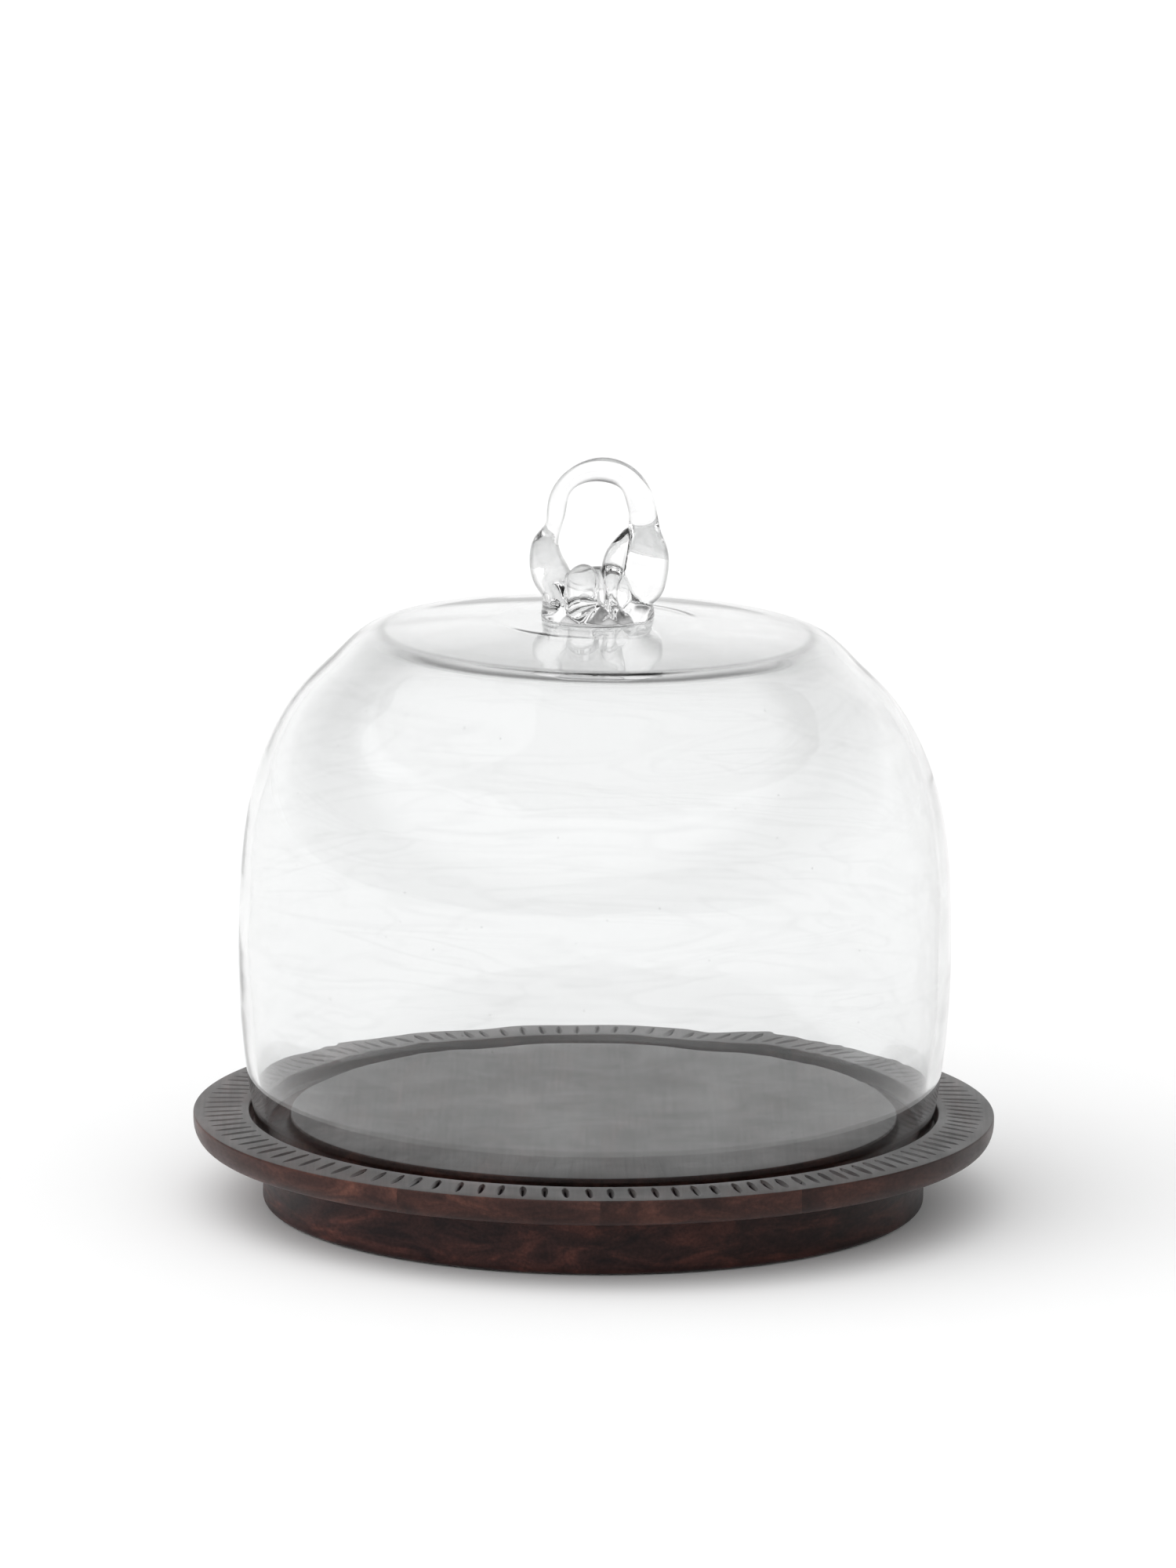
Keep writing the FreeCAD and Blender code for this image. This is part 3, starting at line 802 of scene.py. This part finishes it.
def make_camera():
    """Long lens that circles the board's top, lifted a little so that the object sits low in the frame."""
    data = bpy.data.cameras.new("camera")
    data.sensor_width = CAMERA_SENSOR
    data.lens = CAMERA_LENS
    data.clip_end = 100.0
    camera = bpy.data.objects.new("camera", data)
    bpy.context.scene.collection.objects.link(camera)
    rise = math.radians(CAMERA_ELEVATION)
    place = Vector((0, 0, RIM_LEVEL)) + CAMERA_DISTANCE * Vector((0, -math.cos(rise), math.sin(rise)))
    camera.matrix_world = (Matrix.Translation(place) @ Matrix.Rotation(math.radians(CAMERA_SWING), 4, "Z")
                           @ Matrix.Rotation(math.pi / 2 - rise + math.radians(CAMERA_LIFT), 4, "X")
                           @ Matrix.Rotation(math.radians(CAMERA_ROLL), 4, "Z"))
    bpy.context.scene.camera = camera


def soft_sun(name, direction, angle, strength):
    """Broad directional light that shows in no reflection."""
    data = bpy.data.lights.new(name, "SUN")
    data.angle = math.radians(angle)
    data.energy = strength
    light = bpy.data.objects.new(name, data)
    bpy.context.scene.collection.objects.link(light)
    light.rotation_mode = "QUATERNION"
    light.rotation_quaternion = (-Vector(direction)).to_track_quat("-Z", "Y")
    light.visible_glossy = False


def toward(nodes, links, source, direction):
    """How far the looked-at direction points the given way, from 0 (opposite) to 1 (the same)."""
    node = nodes.new("ShaderNodeVectorMath")
    node.operation = "DOT_PRODUCT"
    node.inputs[1].default_value = Vector(direction).normalized()
    links.new(source, node.inputs[0])
    span = add(nodes, "ShaderNodeMapRange", From_Min=-1.0, From_Max=1.0)
    links.new(node.outputs["Value"], span.inputs["Value"])
    return span.outputs["Result"]


def shades(nodes, links, source, direction, levels):
    """Brightness by direction, as a share of the world's strength."""
    stops = [(position, (level / WORLD_STRENGTH,) * 3) for position, level in levels]
    return ramp(nodes, links, toward(nodes, links, source, direction), stops)


def make_world():
    """White studio. Matt surfaces get an even fill; glossy ones see a bright ceiling over a darker band."""
    world = bpy.data.worlds.new("studio")
    bpy.context.scene.world = world
    world.use_nodes = True
    nodes, links = world.node_tree.nodes, world.node_tree.links
    background = nodes["Background"]
    background.inputs["Strength"].default_value = WORLD_STRENGTH
    place = nodes.new("ShaderNodeTexCoord")
    path = nodes.new("ShaderNodeLightPath")
    ceiling = shades(nodes, links, place.outputs["Generated"], CEILING_DIRECTION, CEILING_LEVELS)
    fill = shades(nodes, links, place.outputs["Generated"], FILL_DIRECTION, FILL_LEVELS)
    colour = mixed(nodes, links, "MIX", path.outputs["Is Diffuse Ray"], ceiling, fill)
    links.new(colour, background.inputs["Color"])


def make_floor():
    corners = [(x * FLOOR_HALF, y * FLOOR_HALF, 0) for x, y in ((-1, -1), (1, -1), (1, 1), (-1, 1))]
    floor = mesh_object("studio_floor", corners, [(0, 1, 2, 3)])
    material, nodes, links, shader = new_material("pale_floor")
    shader.inputs["Base Color"].default_value = (0.86, 0.86, 0.86, 1)
    shader.inputs["Roughness"].default_value = 0.75
    shader.inputs["Specular IOR Level"].default_value = 0.2
    floor.data.materials.append(material)


make_camera()
make_world()
make_floor()
soft_sun("left_sun", SUN_DIRECTION, SUN_ANGLE, SUN_STRENGTH)
make_board()
make_foot()
make_pads()
make_dome()
make_handle()

scene = bpy.context.scene
scene.view_settings.view_transform = "Standard"
scene.cycles.use_denoising = True
scene.cycles.max_bounces = 24
scene.cycles.transmission_bounces = 20
scene.cycles.transparent_max_bounces = 16
